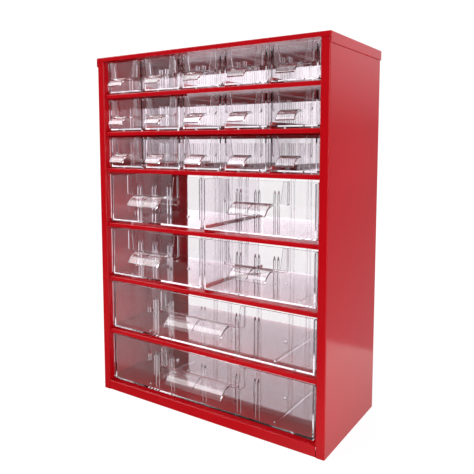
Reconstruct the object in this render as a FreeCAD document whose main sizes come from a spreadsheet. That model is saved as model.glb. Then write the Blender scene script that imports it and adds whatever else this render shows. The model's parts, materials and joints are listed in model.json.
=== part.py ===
"""Steel cabinet with clear pull-out drawers, drawn as a parametric assembly.

Frame: X runs across the front, Y runs from the front (-Y) to the wall (+Y), Z is up.
The origin is the middle of the overall footprint, on the surface the cabinet stands on.
"""
import FreeCAD, Part
import os
import re
import Sketcher

# Driving dimensions in millimetres and degrees.
DIMENSIONS = {
    # cabinet shell
    "overall_width": 306.0,
    "overall_height": 414.0,
    "overall_depth": 155.0,
    "shell_depth": 140.0,
    "steel": 0.8,
    "bend_radius": 1.2,
    "lid_flange": 10.5,
    "lid_lip": 5.0,
    "lid_gap": 0.3,
    "stile_face": 9.7,
    "stile_return": 9.0,
    "rear_flange": 30.0,
    "foot_flange": 15.0,
    # rows: the base carries one tall row, then three tall rows and three short ones
    "base_height": 11.7,
    "tall_pitch": 67.3,
    "short_pitch": 44.5,
    "rail_recess": 2.5,
    "rail_height": 4.8,
    "shelf_flange": 8.5,
    "shelf_side_gap": 0.2,
    "guide_height": 6.8,
    "guide_width": 1.6,
    "guide_setback": 6.0,
    "base_return": 8.5,
    # wall fixing holes in the rear flanges
    "hole_radius": 2.75,
    "hole_spacing_across": 288.0,
    "hole_spacing_up": 348.0,
    "lowest_hole": 40.0,
    # drawers, common sizes
    "drawer_recess": 5.2,
    "drawer_length": 129.0,
    "drawer_lift": 0.3,
    "plastic": 1.6,
    "front_panel": 2.0,
    "panel_overhang": 2.0,
    "panel_corner": 3.0,
    "tub_corner": 2.5,
    "tub_step": 1.5,
    "runner_width": 2.2,
    "runner_front": 11.5,
    "runner_length": 92.0,
    "rib_width": 1.3,
    "rib_depth": 2.5,
    "rib_slot": 3.2,
    "front_rib_headroom": 10.0,
    "rib_point": 4.0,
    "gate_radius": 1.8,
    "gate_height": 1.5,
    "gate_setback": 67.0,
    "pocket_depth": 2.8,
    "pocket_lip": 1.2,
    "pocket_corner": 3.0,
    "lip_top_width": 5.5,
    "lip_foot_width": 8.5,
    "ledge_thickness": 1.6,
    "handle_flat": 3.0,
    "handle_wall": 2.2,
    "web_wall": 1.4,
    # small drawers
    "small_width": 55.0,
    "small_pitch": 55.8,
    "small_height": 37.0,
    "small_pocket_half": 21.5,
    "small_ledge": 17.8,
    "small_handle_width": 20.0,
    "small_handle_reach": 18.7,
    "small_handle_drop": 10.0,
    "small_runner": 15.0,
    "small_runner_height": 1.4,
    "small_rib_headroom": 7.0,
    # medium drawers
    "medium_width": 138.7,
    "medium_pitch": 140.0,
    "medium_height": 59.4,
    "medium_pocket_half": 38.5,
    "medium_ledge": 36.5,
    "medium_handle_width": 44.0,
    "medium_handle_reach": 21.0,
    "medium_handle_drop": 11.0,
    "medium_runner": 45.0,
    "medium_runner_height": 2.8,
    "medium_rib_headroom": 3.0,
    "medium_rib": 22.8,
    # large drawers
    "large_width": 278.7,
    "large_height": 59.4,
    "large_pocket_half": 58.0,
    "large_ledge": 36.5,
    "large_handle_width": 77.0,
    "large_handle_reach": 21.0,
    "large_handle_drop": 11.0,
    "large_runner": 87.5,
    "large_runner_height": 2.2,
    "large_rib_headroom": 3.0,
    "large_rib": 46.5,
    "large_outer_rib": 70.0,
    "large_gate": 71.0,
}

doc = FreeCAD.newDocument("PartsOrganizer")
dimensions = doc.addObject("Spreadsheet::Sheet", "Dimensions")
for row, (alias, value) in enumerate(DIMENSIONS.items(), start=1):
    dimensions.set(f"A{row}", alias)
    dimensions.set(f"B{row}", str(value))
    dimensions.setAlias(f"B{row}", alias)
doc.recompute()

FORWARD_SECTOR = FreeCAD.Rotation(
    FreeCAD.Vector(0, 0, 1), FreeCAD.Vector(0, -1, 0), FreeCAD.Vector(1, 0, 0), "XYZ")
ALONG_Y = FreeCAD.Rotation(FreeCAD.Vector(1, 0, 0), -90)
bodies = []


def formula(text):
    """Turn dimension names in a formula into references to the sheet."""
    def reference(match):
        word = match.group()
        return f"Dimensions.{word}" if word in DIMENSIONS else word
    return re.sub(r"[a-z_]+", reference, text)


def value_of(text):
    """Give the present value of a formula, for a sketch's starting shape."""
    return float(dimensions.evalExpression(formula(text)))


def bind(feature, **sizes):
    """Bind a feature's properties to formulas over the sheet."""
    for name, text in sizes.items():
        feature.setExpression(name.replace("__", "."), formula(text))


def place(feature, position, rotation=None):
    """Bind a feature's position, given as three formulas, and turn it if asked."""
    if rotation is not None:
        feature.Placement = FreeCAD.Placement(FreeCAD.Vector(), rotation)
    for axis, text in zip("xyz", position):
        feature.setExpression(f"Placement.Base.{axis}", formula(text))


def new_body(label, position=("0", "0", "0")):
    """Start a sub-part."""
    body = doc.addObject("PartDesign::Body", label)
    body.Label = label
    place(body, position)
    bodies.append(body)
    return body


def add_box(body, low, high, cut=False):
    """Add or cut a block between two corners, each given as three formulas."""
    kind = "SubtractiveBox" if cut else "AdditiveBox"
    box = body.newObject(f"PartDesign::{kind}", f"{body.Name}_block")
    place(box, low)
    for size, start, end in zip(("Length", "Width", "Height"), low, high):
        bind(box, **{size: f"({end}) - ({start})"})
    return box


def add_cylinder(body, position, radius, height, rotation=None, cut=False, angle="360"):
    """Add or cut a round bar or a sector of one."""
    kind = "SubtractiveCylinder" if cut else "AdditiveCylinder"
    bar = body.newObject(f"PartDesign::{kind}", f"{body.Name}_round")
    place(bar, position, rotation)
    bind(bar, Radius=radius, Height=height, Angle=angle)
    return bar


def add_pad(body, plane_role, loops, length, offset="0"):
    """Pad closed outlines, each a list of formula pairs, from one of the body's planes."""
    sketch = body.newObject("Sketcher::SketchObject", f"{body.Name}_sketch")
    plane = [item for item in body.Origin.OriginFeatures if item.Role == plane_role][0]
    sketch.AttachmentSupport = [(plane, "")]
    sketch.MapMode = "FlatFace"
    bind(sketch, AttachmentOffset__Base__z=offset)
    for loop in loops:
        corners = [FreeCAD.Vector(value_of(across), value_of(up), 0) for across, up in loop]
        first = sketch.GeometryCount
        count = len(corners)
        for index in range(count):
            line = Part.LineSegment(corners[index], corners[(index + 1) % count])
            sketch.addGeometry(line, False)
        for index in range(count):
            following = first + (index + 1) % count
            sketch.addConstraint(Sketcher.Constraint("Coincident", first + index, 2, following, 1))
        for index, (across, up) in enumerate(loop):
            for axis, text in (("DistanceX", across), ("DistanceY", up)):
                number = sketch.addConstraint(
                    Sketcher.Constraint(axis, first + index, 1, value_of(text)))
                sketch.setExpression(f"Constraints[{number}]", formula(text))
    pad = body.newObject("PartDesign::Pad", f"{body.Name}_pad")
    pad.Profile = sketch
    bind(pad, Length=length)
    return pad


def rectangle(low_across, low_up, high_across, high_up):
    """Outline of a rectangle for a sketch."""
    return [(low_across, low_up), (high_across, low_up), (high_across, high_up), (low_across, high_up)]


def round_edges(body, radius, is_wanted):
    """Fillet the straight edges of the body whose two ends satisfy a test."""
    doc.recompute()
    base = body.Tip
    wanted = []
    for number, edge in enumerate(base.Shape.Edges, start=1):
        ends = [vertex.Point for vertex in edge.Vertexes]
        if len(ends) == 2 and edge.Curve.TypeId == "Part::GeomLine" and is_wanted(*ends):
            wanted.append(f"Edge{number}")
    if not wanted:
        raise RuntimeError(f"{body.Label}: no edge to round")
    fillet = body.newObject("PartDesign::Fillet", f"{body.Name}_fillet")
    fillet.Base = (base, wanted)
    bind(fillet, Radius=radius)
    return fillet


def near(value, target):
    """True when two lengths agree to a hundredth of a millimetre."""
    return abs(value - target) < 0.01


# Places in the cabinet that several pieces share.
SHELL_FRONT = "overall_depth / 2 - shell_depth"
STILE_FRONT = f"{SHELL_FRONT} + steel"
REAR_INSIDE = "overall_depth / 2 - 2 * steel"
WEB_OUTSIDE = "overall_width / 2 - steel - lid_gap"
WEB_INSIDE = "overall_width / 2 - 2 * steel - lid_gap"
STILE_INSIDE = f"{WEB_OUTSIDE} - stile_face"
RETURN_BACK = f"{STILE_FRONT} + stile_return"
BEHIND_RETURN = f"{RETURN_BACK} + shelf_side_gap"
DRAWER_FRONT = f"{STILE_FRONT} + drawer_recess"


def build_side_panel(label, side):
    """Side panel folded from one sheet: web, front stile with its return, rear and foot flanges."""
    body = new_body(label)
    back = f"{REAR_INSIDE} + steel"
    top = "overall_height - steel"

    def strip(near_x, far_x, low_y, high_y, low_z, high_z):
        ends = [f"{side} * ({near_x})", f"{side} * ({far_x})"]
        if side < 0:
            ends.reverse()
        add_box(body, (ends[0], low_y, low_z), (ends[1], high_y, high_z))

    strip(WEB_INSIDE, WEB_OUTSIDE, STILE_FRONT, back, "0", top)
    strip(STILE_INSIDE, WEB_OUTSIDE, STILE_FRONT, f"{STILE_FRONT} + steel", "0", top)
    strip(STILE_INSIDE, f"{STILE_INSIDE} + steel", STILE_FRONT, RETURN_BACK, "0", top)
    strip(f"{WEB_OUTSIDE} - rear_flange", WEB_OUTSIDE, REAR_INSIDE, back, "0", top)
    strip(f"{WEB_OUTSIDE} - foot_flange", WEB_OUTSIDE, BEHIND_RETURN, back, "0", "steel")
    for height in ("lowest_hole", "lowest_hole + hole_spacing_up"):
        start = f"{REAR_INSIDE} - steel"
        across = f"{side} * hole_spacing_across / 2"
        add_cylinder(body, (across, start, height), "hole_radius", "3 * steel", ALONG_Y, cut=True)
    outer_x = abs(value_of(WEB_OUTSIDE))
    inner_x = abs(value_of(STILE_INSIDE))
    front_y = value_of(STILE_FRONT)
    back_y = value_of(back)

    def is_bend(start, end):
        upright = near(start.x, end.x) and near(start.y, end.y)
        outer = near(abs(start.x), outer_x)
        at_front = near(start.y, front_y) and (outer or near(abs(start.x), inner_x))
        at_back = near(start.y, back_y) and outer
        return upright and (at_front or at_back)

    round_edges(body, "bend_radius", is_bend)


def build_lid():
    """Top cover: a shallow tray upside down over the side panels, with a short front lip."""
    body = new_body("top_lid")
    half = "overall_width / 2"
    back = "overall_depth / 2"
    bottom = "overall_height - lid_flange"
    add_box(body, (f"-{half}", SHELL_FRONT, bottom), (half, back, "overall_height"))
    add_box(body, (f"-{half} + steel", f"{SHELL_FRONT} + steel", bottom),
            (f"{half} - steel", f"{back} - steel", "overall_height - steel"), cut=True)
    add_box(body, (f"-{half} + steel", SHELL_FRONT, bottom),
            (f"{half} - steel", f"{SHELL_FRONT} + steel", "overall_height - lid_lip"), cut=True)
    half_x = value_of(half)
    front_y = value_of(SHELL_FRONT)
    back_y = value_of(back)
    top_z = value_of("overall_height")

    def is_outer(start, end):
        at_top = near(start.z, top_z) and near(end.z, top_z)
        at_corner = near(abs(start.x), half_x) and near(start.x, end.x) and near(start.y, end.y)
        at_corner = at_corner and (near(start.y, front_y) or near(start.y, back_y))
        return at_top or at_corner

    round_edges(body, "bend_radius", is_outer)


def build_shelf(label, top, guides):
    """Shelf folded from one sheet, with a rail in front, flanges round it and drawer guides."""
    body = new_body(label, ("0", "0", top))
    nose = f"{STILE_FRONT} + rail_recess"
    nose_half = f"{STILE_INSIDE} - shelf_side_gap"
    add_box(body, (f"-({WEB_INSIDE})", BEHIND_RETURN, "-steel"), (WEB_INSIDE, REAR_INSIDE, "0"))
    add_box(body, (f"-({nose_half})", nose, "-steel"), (nose_half, BEHIND_RETURN, "0"))
    add_box(body, (f"-({nose_half})", nose, "-rail_height"), (nose_half, f"{nose} + steel", "0"))
    add_box(body, (f"-({WEB_INSIDE})", f"{REAR_INSIDE} - steel", "-shelf_flange"),
            (WEB_INSIDE, REAR_INSIDE, "0"))
    add_box(body, (f"-({WEB_INSIDE})", BEHIND_RETURN, "-shelf_flange"),
            (f"-({WEB_INSIDE}) + steel", REAR_INSIDE, "0"))
    add_box(body, (f"{WEB_INSIDE} - steel", BEHIND_RETURN, "-shelf_flange"),
            (WEB_INSIDE, REAR_INSIDE, "0"))
    front_y = value_of(nose)
    round_edges(body, "bend_radius", lambda start, end: (
        near(start.y, front_y) and near(end.y, front_y) and near(start.z, 0) and near(end.z, 0)))
    for middle in guides:
        add_box(body, (f"{middle} - guide_width / 2", f"{DRAWER_FRONT} + guide_setback", "0"),
                (f"{middle} + guide_width / 2", f"{REAR_INSIDE} - steel", "guide_height"))


def build_base():
    """Base: the lowest shelf, with a deep front rail flush with the stiles."""
    body = new_body("base_shelf")
    nose_half = f"{STILE_INSIDE} - shelf_side_gap"
    sheet_low = "base_height - steel"
    add_box(body, (f"-({WEB_INSIDE})", BEHIND_RETURN, sheet_low),
            (WEB_INSIDE, REAR_INSIDE, "base_height"))
    add_box(body, (f"-({nose_half})", STILE_FRONT, sheet_low),
            (nose_half, BEHIND_RETURN, "base_height"))
    add_box(body, (f"-({nose_half})", STILE_FRONT, "0"),
            (nose_half, f"{STILE_FRONT} + steel", "base_height"))
    add_box(body, (f"-({nose_half})", STILE_FRONT, "0"),
            (nose_half, f"{STILE_FRONT} + base_return", "steel"))
    side = f"{WEB_OUTSIDE} - rear_flange"
    add_box(body, (f"-({WEB_INSIDE})", f"{REAR_INSIDE} - steel", "2 * steel"),
            (WEB_INSIDE, REAR_INSIDE, "base_height"))
    add_box(body, (f"-({side})", f"{REAR_INSIDE} - base_return", "0"), (side, REAR_INSIDE, "steel"))
    add_box(body, (f"-({side})", f"{REAR_INSIDE} - steel", "0"), (side, REAR_INSIDE, "base_height"))
    front_y = value_of(STILE_FRONT)
    top_z = value_of("base_height")
    round_edges(body, "bend_radius", lambda start, end: (
        near(start.y, front_y) and near(end.y, front_y) and near(start.z, end.z)
        and (near(start.z, top_z) or near(start.z, 0))))


def rib_edges(middle):
    """Both edges of each of the two ribs that hold a divider between them, measured along a wall."""
    inner = "rib_slot / 2"
    outer = "(rib_slot / 2 + rib_width)"
    return [(f"{middle} - {outer}", f"{middle} - {inner}"),
            (f"{middle} + {inner}", f"{middle} + {outer}")]


def pointed_rib(left, right, foot, tip):
    """Outline of an upright rib with a pointed top."""
    shoulder = f"{tip} - rib_point"
    return [(left, foot), (right, foot), (right, shoulder),
            (f"({left} + {right}) / 2", tip), (left, shoulder)]


def add_tub(body, kind, wall_ribs, depth_ribs, gates):
    """The box of a drawer: front panel, walls and floor, divider ribs, runners and gate marks."""
    half = f"{kind}_width / 2"
    tub_half = f"({half} - panel_overhang)"
    under = f"{kind}_runner_height"
    top = f"{kind}_height"
    add_box(body, (f"-{half}", "0", under), (half, "front_panel", top))
    add_box(body, (f"-{tub_half}", "0", under), (tub_half, "drawer_length", f"{top} - tub_step"))
    half_x = value_of(half)
    tub_x = value_of(tub_half)
    back_y = value_of("drawer_length")
    under_z = value_of(under)
    round_edges(body, "panel_corner", lambda start, end: (
        near(abs(start.x), half_x) and near(start.x, end.x)
        and near(start.z, under_z) and near(end.z, under_z)))
    round_edges(body, "tub_corner", lambda start, end: (
        near(abs(start.x), tub_x) and near(start.x, end.x)
        and near(start.y, back_y) and near(end.y, back_y)))
    inside = f"({tub_half} - plastic)"
    back = "(drawer_length - plastic)"
    floor = f"{under} + plastic"
    inside_floor = f"{under} + plastic / 2"
    add_box(body, (f"-{inside}", "front_panel", floor), (inside, back, top), cut=True)
    for side in (-1, 1):
        middle = f"{side} * {kind}_runner"
        add_box(body, (f"{middle} - runner_width / 2", "runner_front", "0"),
                (f"{middle} + runner_width / 2", "runner_front + runner_length", inside_floor))
    front_ribs = []
    rear_ribs = []
    for middle in wall_ribs:
        for left, right in rib_edges(middle):
            front_ribs.append(pointed_rib(left, right, inside_floor, f"{top} - front_rib_headroom"))
            rear_ribs.append(rectangle(left, f"{back} - rib_depth", right, f"{back} + plastic / 2"))
    for middle in depth_ribs:
        for low, high in rib_edges(middle):
            rear_ribs.append(
                rectangle(f"-{inside} - plastic / 2", low, f"-{inside} + rib_depth", high))
            rear_ribs.append(
                rectangle(f"{inside} - rib_depth", low, f"{inside} + plastic / 2", high))
    if front_ribs:
        add_pad(body, "XZ_Plane", front_ribs, "rib_depth + front_panel / 2",
                offset="-(front_panel + rib_depth)")
    add_pad(body, "XY_Plane", rear_ribs, f"{top} - {kind}_rib_headroom - ({inside_floor})",
            offset=inside_floor)
    for middle in gates:
        add_cylinder(body, (middle, "gate_setback", inside_floor), "gate_radius",
                     "gate_height + plastic / 2")


def add_label_pocket(body, kind):
    """Two tapered lips and a ledge that hold a label card against the front panel."""
    half = f"{kind}_pocket_half"
    ledge = f"{kind}_ledge"
    add_box(body, (f"-{half}", "-pocket_depth", f"{ledge} - ledge_thickness"),
            (half, "front_panel / 2", ledge))
    for side in (-1, 1):
        outline = [(f"{side} * {half}", ledge),
                   (f"{side} * {half}", f"{kind}_height"),
                   (f"{side} * ({half} - lip_top_width)", f"{kind}_height"),
                   (f"{side} * ({half} - lip_foot_width)", ledge)]
        add_pad(body, "XZ_Plane", [outline], "pocket_lip", offset="pocket_depth - pocket_lip")
        wall = [f"{side} * ({half} - pocket_lip)", f"{side} * {half}"]
        if side < 0:
            wall.reverse()
        add_box(body, (wall[0], "-pocket_depth", ledge), (wall[1], "front_panel / 2", f"{kind}_height"))
    half_x = value_of(half)
    under_z = value_of(f"{ledge} - ledge_thickness")
    round_edges(body, "pocket_corner", lambda start, end: (
        near(abs(start.x), half_x) and near(start.x, end.x)
        and near(start.z, under_z) and near(end.z, under_z)))


def add_handle(body, kind, has_web):
    """A curved finger lip under the ledge: a short flat, then an arc forward and down."""
    width = f"{kind}_handle_width"
    span = f"({kind}_handle_reach - handle_flat)"
    drop = f"{kind}_handle_drop"
    radius = f"(({span} ^ 2 + {drop} ^ 2) / (2 * {drop}))"
    sweep = f"asin({span} / {radius})"
    top = f"{kind}_ledge"
    axis = (f"-{width} / 2", "-handle_flat", f"{top} - {radius}")
    add_cylinder(body, axis, radius, width, FORWARD_SECTOR, angle=sweep)
    add_cylinder(body, axis, f"{radius} - handle_wall", width, FORWARD_SECTOR, cut=True, angle=sweep)
    add_box(body, (f"-{width} / 2", "-handle_flat", f"{top} - handle_wall"),
            (f"{width} / 2", "front_panel / 2", top))
    if has_web:
        reach = f"{kind}_handle_reach"
        outline = [("-front_panel / 2", f"{top} - handle_wall / 2"),
                   ("-front_panel / 2", f"{top} - {drop}"),
                   ("handle_flat", f"{top} - {drop}"),
                   (f"{reach} - handle_wall", f"{top} - {drop} + handle_wall / 2"),
                   (f"{reach} * 0.6", f"{top} - {drop} / 2 + handle_wall / 2"),
                   ("handle_flat", f"{top} - handle_wall / 2")]
        mirrored = [(f"-({across})", up) for across, up in outline]
        add_pad(body, "YZ_Plane", [mirrored], "web_wall", offset="-web_wall / 2")


def build_drawer(label, kind, middle, shelf_top):
    """One clear moulded drawer, standing on its shelf with a little running clearance."""
    body = new_body(label, (middle, DRAWER_FRONT, f"{shelf_top} + drawer_lift"))
    depth_fractions = {"small": (0.285, 0.485, 0.685), "medium": (0.33, 0.66), "large": (0.5,)}
    wall_ribs = {"small": [],
                 "medium": ["0", "-medium_rib", "medium_rib"],
                 "large": ["0", "-large_rib", "large_rib", "-large_outer_rib", "large_outer_rib"]}
    gates = {"small": ["0"], "medium": ["0"], "large": ["-large_gate", "large_gate"]}
    depth_ribs = [f"{fraction} * drawer_length" for fraction in depth_fractions[kind]]
    add_tub(body, kind, wall_ribs[kind], depth_ribs, gates[kind])
    add_label_pocket(body, kind)
    add_handle(body, kind, has_web=kind != "small")


def row_floor(row):
    """Height of the surface that a row of drawers stands on; row 1 is the top one."""
    tall_rows = min(7 - row, 4)
    short_rows = max(3 - row, 0)
    return f"(base_height + {tall_rows} * tall_pitch + {short_rows} * short_pitch)"


build_side_panel("side_panel_left", -1)
build_side_panel("side_panel_right", 1)
build_lid()
build_base()

ROW_KINDS = {1: "small", 2: "small", 3: "small", 4: "medium", 5: "medium", 6: "large", 7: "large"}
GUIDES = {"small": [f"{step} * small_pitch" for step in (-1.5, -0.5, 0.5, 1.5)],
          "medium": ["0"],
          "large": []}
COLUMNS = {"small": [f"{step} * small_pitch" for step in (-2, -1, 0, 1, 2)],
           "medium": ["-medium_pitch / 2", "medium_pitch / 2"],
           "large": ["0"]}
for row, kind in ROW_KINDS.items():
    if row < 7:
        build_shelf(f"shelf_{row}", row_floor(row), GUIDES[kind])
    for column, middle in enumerate(COLUMNS[kind], start=1):
        build_drawer(f"{kind}_drawer_r{row}c{column}", kind, middle, row_floor(row))

doc.recompute()
for item in doc.Objects:
    if "Invalid" in item.State or "Error" in item.State:
        raise RuntimeError(f"{item.Label} is in state {item.State}")
for body in bodies:
    if body.Shape.isNull() or not body.Shape.isValid() or len(body.Shape.Solids) != 1:
        raise RuntimeError(f"{body.Label} is not one valid solid")

os.makedirs("parts", exist_ok=True)
for body in bodies:
    body.Shape.exportStep(f"parts/{body.Label}.step")
box = Part.makeCompound([body.Shape for body in bodies]).BoundBox
print(f"{len(bodies)} nodes; X {box.XMin:.2f}..{box.XMax:.2f}, "
      f"Y {box.YMin:.2f}..{box.YMax:.2f}, Z {box.ZMin:.2f}..{box.ZMax:.2f}")
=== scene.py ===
"""Looks of the steel drawer cabinet: powder-coated steel, clear moulded drawers, studio light and camera."""
import bpy
import json
import math
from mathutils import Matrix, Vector

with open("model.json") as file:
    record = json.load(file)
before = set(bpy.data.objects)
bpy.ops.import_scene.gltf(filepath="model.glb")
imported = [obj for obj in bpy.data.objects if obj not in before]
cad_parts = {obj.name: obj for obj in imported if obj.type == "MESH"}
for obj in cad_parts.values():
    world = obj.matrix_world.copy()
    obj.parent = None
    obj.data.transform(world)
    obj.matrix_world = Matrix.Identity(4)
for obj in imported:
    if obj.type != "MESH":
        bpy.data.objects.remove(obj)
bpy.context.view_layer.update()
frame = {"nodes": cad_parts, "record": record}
scene = bpy.context.scene

MM = 0.001
STEEL_EDGE = 0.2 * MM
PLASTIC_EDGE = 0.4 * MM
EDGE_SEGMENTS = 2
EDGE_ANGLE = 40

RED_DEEP = (0.56, 0.0030, 0.008, 1)
RED_BRIGHT = (0.63, 0.0040, 0.010, 1)
COAT_IOR = 1.36
PLASTIC_COLOUR = (0.988, 0.972, 0.982, 1)
PLASTIC_SHADOW = (0.985, 0.985, 0.985, 1)
PLASTIC_IOR = 1.55

# The floor, in metres. Where it is seen, the share BURNT of its look is plain glow.
FLOOR_WIDTH = 3.0
FLOOR_FRONT = -0.7
FLOOR_BACK = 0.25
PAPER_COLOUR = (0.9, 0.9, 0.9, 1)
GLOW = 1.2
BURNT = 0.75

# Painted glow of the floor in reflections, standing in for the lit paper, as (low, high, brightness at low,
# brightness at high), by place in metres. OUTER is for a first reflection, INNER for one behind clear
# plastic.
OUTER_FLOOR_ACROSS = (0.05, 0.25, 0.1, 1.3)
INNER_FLOOR_ALONG = (-0.5, -0.15, 0.3, 1.0)
INNER_FLOOR_ACROSS = (-0.35, -0.05, 1.9, 0.5)

# Brightness of the backdrop in reflections, written the same way, by a component of the ray's direction.
CARD_DIRECTION = (-0.57, -0.82, 0.0)
CARD_EDGE = (0.78, 0.92, 1.0, 0.06)
OUTER_ABOVE = (0.03, 0.17, 0.34, 1.14)
OUTER_BELOW = (-0.35, -0.12, 0.2, 0.0)
INNER_BEHIND = (-0.1, 0.2, 0.3, 0.9)
INNER_ABOVE = (0.0, 0.12, 0.0, 0.6)
INNER_LEFT_ABOVE = (-0.05, 0.02, 0.0, 1.4)
INNER_LEFT_SIDE = (-0.52, -0.64, 0.0, 1.0)
SCATTERED = 0.48
BACKDROP = 1.06
REFLECTED_TINT = (1.0, 0.95, 1.01, 1)
WHITE = (1, 1, 1, 1)

# Lamps as position in metres, width and height in metres, and power in watts.
LAMP_TARGET = (0, 0, 0.2)
LAMPS = {
    "key": ((0.45, -1.9, 0.3), (0.35, 1.0), 4.4),
    "fill": ((1.75, -0.55, 0.45), (0.3, 1.1), 7.2),
    "overhead": ((-1.0, -0.5, 1.2), (0.7, 1.0), 6.5),
}

CAMERA_LENS = 42.306
CAMERA_SENSOR = 36.0
CAMERA_SHIFT = (0.01477, -0.08694)
CAMERA_PLACE = (0.36327, -0.54653, 0.31028)
CAMERA_ANGLES = (84.687, 0.056, 33.593)

MAX_BOUNCES = 32
GLOSSY_BOUNCES = 24


class Nodes:
    """A short way to write a node tree."""

    def __init__(self, owner):
        owner.use_nodes = True
        self.tree = owner.node_tree
        self.tree.nodes.clear()

    def add(self, kind, settings=None, **inputs):
        """Add a node; settings are its own properties, inputs are values or sockets to link."""
        node = self.tree.nodes.new(kind)
        for name, value in (settings or {}).items():
            setattr(node, name, value)
        for name, value in inputs.items():
            self.feed(node.inputs[name.replace("_", " ")], value)
        return node

    def feed(self, socket, value):
        """Set a socket's value, or link it if the value is itself a socket."""
        if isinstance(value, bpy.types.NodeSocket):
            self.tree.links.new(value, socket)
        else:
            socket.default_value = value

    def ramp(self, factor, low, high, first=0.0, last=1.0):
        """A map from low..high to first..last."""
        node = self.add("ShaderNodeMapRange", Value=factor, From_Min=low, From_Max=high,
                        To_Min=first, To_Max=last)
        return node.outputs["Result"]

    def noise(self, vector, scale, detail=2.0, roughness=0.5):
        """A noise value, with scale in features per metre."""
        node = self.add("ShaderNodeTexNoise", Vector=vector, Scale=scale, Detail=detail, Roughness=roughness)
        return node.outputs["Fac"]

    def combine(self, operation, first, second):
        """Two numbers combined by a Math node's operation."""
        node = self.add("ShaderNodeMath", {"operation": operation})
        self.feed(node.inputs[0], first)
        self.feed(node.inputs[1], second)
        return node.outputs["Value"]

    def mix(self, factor, first, second):
        """One number or the other, by a factor from 0 to 1."""
        node = self.add("ShaderNodeMix", {"data_type": "FLOAT"}, Factor=factor, A=first, B=second)
        return node.outputs["Result"]

    def mix_colours(self, factor, first, second):
        """One colour or the other, by a factor from 0 to 1."""
        node = self.add("ShaderNodeMix", {"data_type": "RGBA"}, Factor=factor, A=first, B=second)
        return node.outputs["Result"]

    def mix_shaders(self, factor, first, second):
        """One shader or the other, by a factor from 0 to 1."""
        node = self.add("ShaderNodeMixShader")
        for socket, value in zip(node.inputs, (factor, first, second)):
            self.feed(socket, value)
        return node.outputs["Shader"]

    def bounced(self, kind):
        """1 for a ray that has bounced this way at least once: Diffuse, Glossy or Transmission."""
        ray = self.add("ShaderNodeLightPath")
        return self.combine("GREATER_THAN", ray.outputs[f"{kind} Depth"], 0.5)

    def seen_directly(self):
        """1 for what is seen straight on or through clear plastic, 0 for light by way of a reflection."""
        ray = self.add("ShaderNodeLightPath")
        bounces = self.combine("ADD", ray.outputs["Glossy Depth"], ray.outputs["Diffuse Depth"])
        return self.combine("LESS_THAN", bounces, 0.5)


def powder_coat():
    """Gloss red powder coat: orange-peel texture, faint cloudiness and slight rubbing."""
    material = bpy.data.materials.new("red_powder_coat")
    nodes = Nodes(material)
    place = nodes.add("ShaderNodeTexCoord").outputs["Object"]
    cloud = nodes.ramp(nodes.noise(place, 9.0, 3.0), 0.3, 0.7)
    peel = nodes.noise(place, 1100.0)
    dimple = nodes.add("ShaderNodeBump", Strength=0.12, Distance=0.2 * MM, Height=peel)
    rubbed = nodes.noise(place, 60.0, 4.0, 0.6)
    shader = nodes.add("ShaderNodeBsdfPrincipled", Normal=dimple.outputs["Normal"], IOR=COAT_IOR,
                       Base_Color=nodes.mix_colours(cloud, RED_DEEP, RED_BRIGHT),
                       Roughness=nodes.ramp(rubbed, 0.3, 0.75, 0.10, 0.18))
    nodes.add("ShaderNodeOutputMaterial", Surface=shader.outputs["BSDF"])
    return material


def clear_polystyrene():
    """Clear moulded polystyrene with a faint ripple and fine scuffs; shadow rays pass straight through."""
    material = bpy.data.materials.new("clear_polystyrene")
    nodes = Nodes(material)
    place = nodes.add("ShaderNodeTexCoord").outputs["Object"]
    flow = nodes.noise(place, 55.0)
    ripple = nodes.add("ShaderNodeBump", Strength=0.05, Distance=0.3 * MM, Height=flow)
    scuff = nodes.noise(place, 320.0, 4.0, 0.7)
    shader = nodes.add("ShaderNodeBsdfPrincipled", Normal=ripple.outputs["Normal"], IOR=PLASTIC_IOR,
                       Base_Color=PLASTIC_COLOUR, Transmission_Weight=1.0,
                       Roughness=nodes.ramp(scuff, 0.5, 0.85, 0.02, 0.08))
    passing = nodes.add("ShaderNodeBsdfTransparent", Color=PLASTIC_SHADOW)
    shadow = nodes.add("ShaderNodeLightPath").outputs["Is Shadow Ray"]
    surface = nodes.mix_shaders(shadow, shader.outputs["BSDF"], passing.outputs["BSDF"])
    nodes.add("ShaderNodeOutputMaterial", Surface=surface)
    return material


def pale_floor():
    """White studio paper: mostly glow where it is seen; in reflections, a painted glow graded by place
    instead of its lit look.
    """
    material = bpy.data.materials.new("pale_floor")
    nodes = Nodes(material)
    paper = nodes.add("ShaderNodeBsdfDiffuse", Color=PAPER_COLOUR).outputs["BSDF"]
    glow = nodes.add("ShaderNodeEmission", Strength=GLOW).outputs["Emission"]
    seen = nodes.mix_shaders(BURNT, paper, glow)
    place = nodes.add("ShaderNodeNewGeometry").outputs["Position"]
    split = nodes.add("ShaderNodeSeparateXYZ", Vector=place)
    outer = nodes.ramp(split.outputs["X"], *OUTER_FLOOR_ACROSS)
    inner = nodes.combine("MULTIPLY", nodes.ramp(split.outputs["Y"], *INNER_FLOOR_ALONG),
                          nodes.ramp(split.outputs["X"], *INNER_FLOOR_ACROSS))
    strength = nodes.mix(nodes.bounced("Transmission"), outer, inner)
    # painted reflection: in reflections the floor shows this glow, graded by place, instead of its lit paper
    painted_glow = nodes.add("ShaderNodeEmission", Strength=strength).outputs["Emission"]
    mirrored = nodes.mix_shaders(nodes.bounced("Diffuse"), painted_glow, paper)
    surface = nodes.mix_shaders(nodes.seen_directly(), mirrored, seen)
    nodes.add("ShaderNodeOutputMaterial", Surface=surface)
    return material


def soften_edges(node, radius, material):
    """Give a CAD part its material and a small rolled edge."""
    node.data.materials.clear()
    node.data.materials.append(material)
    bevel = node.modifiers.new("rolled_edge", "BEVEL")
    bevel.width = radius
    bevel.segments = EDGE_SEGMENTS
    bevel.limit_method = "ANGLE"
    bevel.angle_limit = math.radians(EDGE_ANGLE)
    bevel.harden_normals = False


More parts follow.
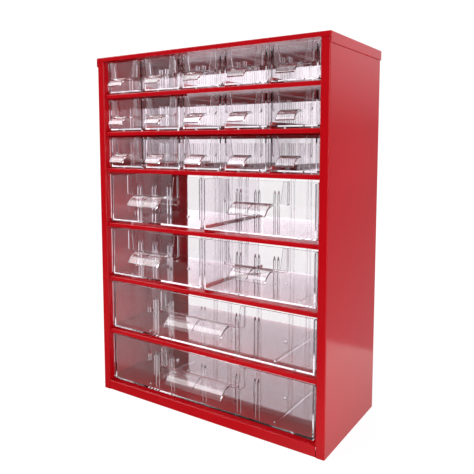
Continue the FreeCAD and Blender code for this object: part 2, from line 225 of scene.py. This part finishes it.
def add_floor():
    """Pale paper under the cabinet that ends a little behind it."""
    bpy.ops.mesh.primitive_plane_add(size=1.0, location=(0, (FLOOR_FRONT + FLOOR_BACK) / 2, 0))
    floor = bpy.context.object
    floor.name = "floor"
    floor.scale = (FLOOR_WIDTH, FLOOR_BACK - FLOOR_FRONT, 1)
    floor.data.materials.append(pale_floor())


def add_area(name, position, size, power):
    """A soft area lamp aimed at the middle of the cabinet."""
    lamp = bpy.data.lights.new(name, "AREA")
    lamp.shape = "RECTANGLE"
    lamp.size, lamp.size_y = size
    lamp.energy = power
    item = bpy.data.objects.new(name, lamp)
    scene.collection.objects.link(item)
    item.visible_camera = False
    item.location = position
    direction = item.location - Vector(LAMP_TARGET)
    item.rotation_euler = direction.to_track_quat("Z", "Y").to_euler()


def add_world():
    """A backdrop that is plain white where it is seen, and graded by direction where it is mirrored.

    A first reflection sees it bright above and dim below, with a dark card at the front left. One behind
    clear plastic sees it brighter towards the back, above and at the left.
    """
    world = bpy.data.worlds.new("studio")
    scene.world = world
    nodes = Nodes(world)
    direction = nodes.add("ShaderNodeTexCoord").outputs["Generated"]
    split = nodes.add("ShaderNodeSeparateXYZ", Vector=direction)
    facing = nodes.add("ShaderNodeVectorMath", {"operation": "DOT_PRODUCT"})
    nodes.feed(facing.inputs[0], direction)
    nodes.feed(facing.inputs[1], CARD_DIRECTION)
    card = nodes.ramp(facing.outputs["Value"], *CARD_EDGE)
    above = nodes.ramp(split.outputs["Z"], *OUTER_ABOVE)
    below = nodes.ramp(split.outputs["Z"], *OUTER_BELOW)
    outer = nodes.combine("MULTIPLY", nodes.combine("ADD", above, below), card)
    behind = nodes.ramp(split.outputs["Y"], *INNER_BEHIND)
    high = nodes.ramp(split.outputs["Z"], *INNER_ABOVE)
    left = nodes.combine("MULTIPLY", nodes.ramp(split.outputs["Z"], *INNER_LEFT_ABOVE),
                         nodes.ramp(split.outputs["X"], *INNER_LEFT_SIDE))
    inner = nodes.combine("ADD", nodes.combine("MULTIPLY", behind, nodes.mix(high, card, 1.0)),
                          nodes.combine("MAXIMUM", left, high))
    mirrored = nodes.mix(nodes.bounced("Transmission"), outer, inner)
    reflected = nodes.mix(nodes.bounced("Diffuse"), mirrored, nodes.combine("MULTIPLY", above, SCATTERED))
    seen = nodes.seen_directly()
    background = nodes.add("ShaderNodeBackground", Strength=nodes.mix(seen, reflected, BACKDROP),
                           Color=nodes.mix_colours(seen, REFLECTED_TINT, WHITE))
    nodes.add("ShaderNodeOutputWorld", Surface=background.outputs["Background"])


def add_camera():
    """The camera, in front of the cabinet and to its right, at three quarters of its height."""
    camera = bpy.data.cameras.new("camera")
    camera.lens = CAMERA_LENS
    camera.sensor_width = CAMERA_SENSOR
    camera.shift_x, camera.shift_y = CAMERA_SHIFT
    item = bpy.data.objects.new("camera", camera)
    scene.collection.objects.link(item)
    item.location = CAMERA_PLACE
    item.rotation_euler = [math.radians(angle) for angle in CAMERA_ANGLES]
    scene.camera = item


red = powder_coat()
clear = clear_polystyrene()
slots = {entry["node"]: entry["material_slot"] for entry in frame["record"]["subparts"]}
for name, node in frame["nodes"].items():
    if slots[name] == "clear_plastic":
        soften_edges(node, PLASTIC_EDGE, clear)
    else:
        soften_edges(node, STEEL_EDGE, red)

add_floor()
add_world()
add_camera()
for name, (position, size, power) in LAMPS.items():
    add_area(name, position, size, power)
scene.view_settings.view_transform = "Standard"
scene.cycles.max_bounces = MAX_BOUNCES
scene.cycles.glossy_bounces = GLOSSY_BOUNCES
scene.cycles.transmission_bounces = MAX_BOUNCES
scene.cycles.transparent_max_bounces = MAX_BOUNCES
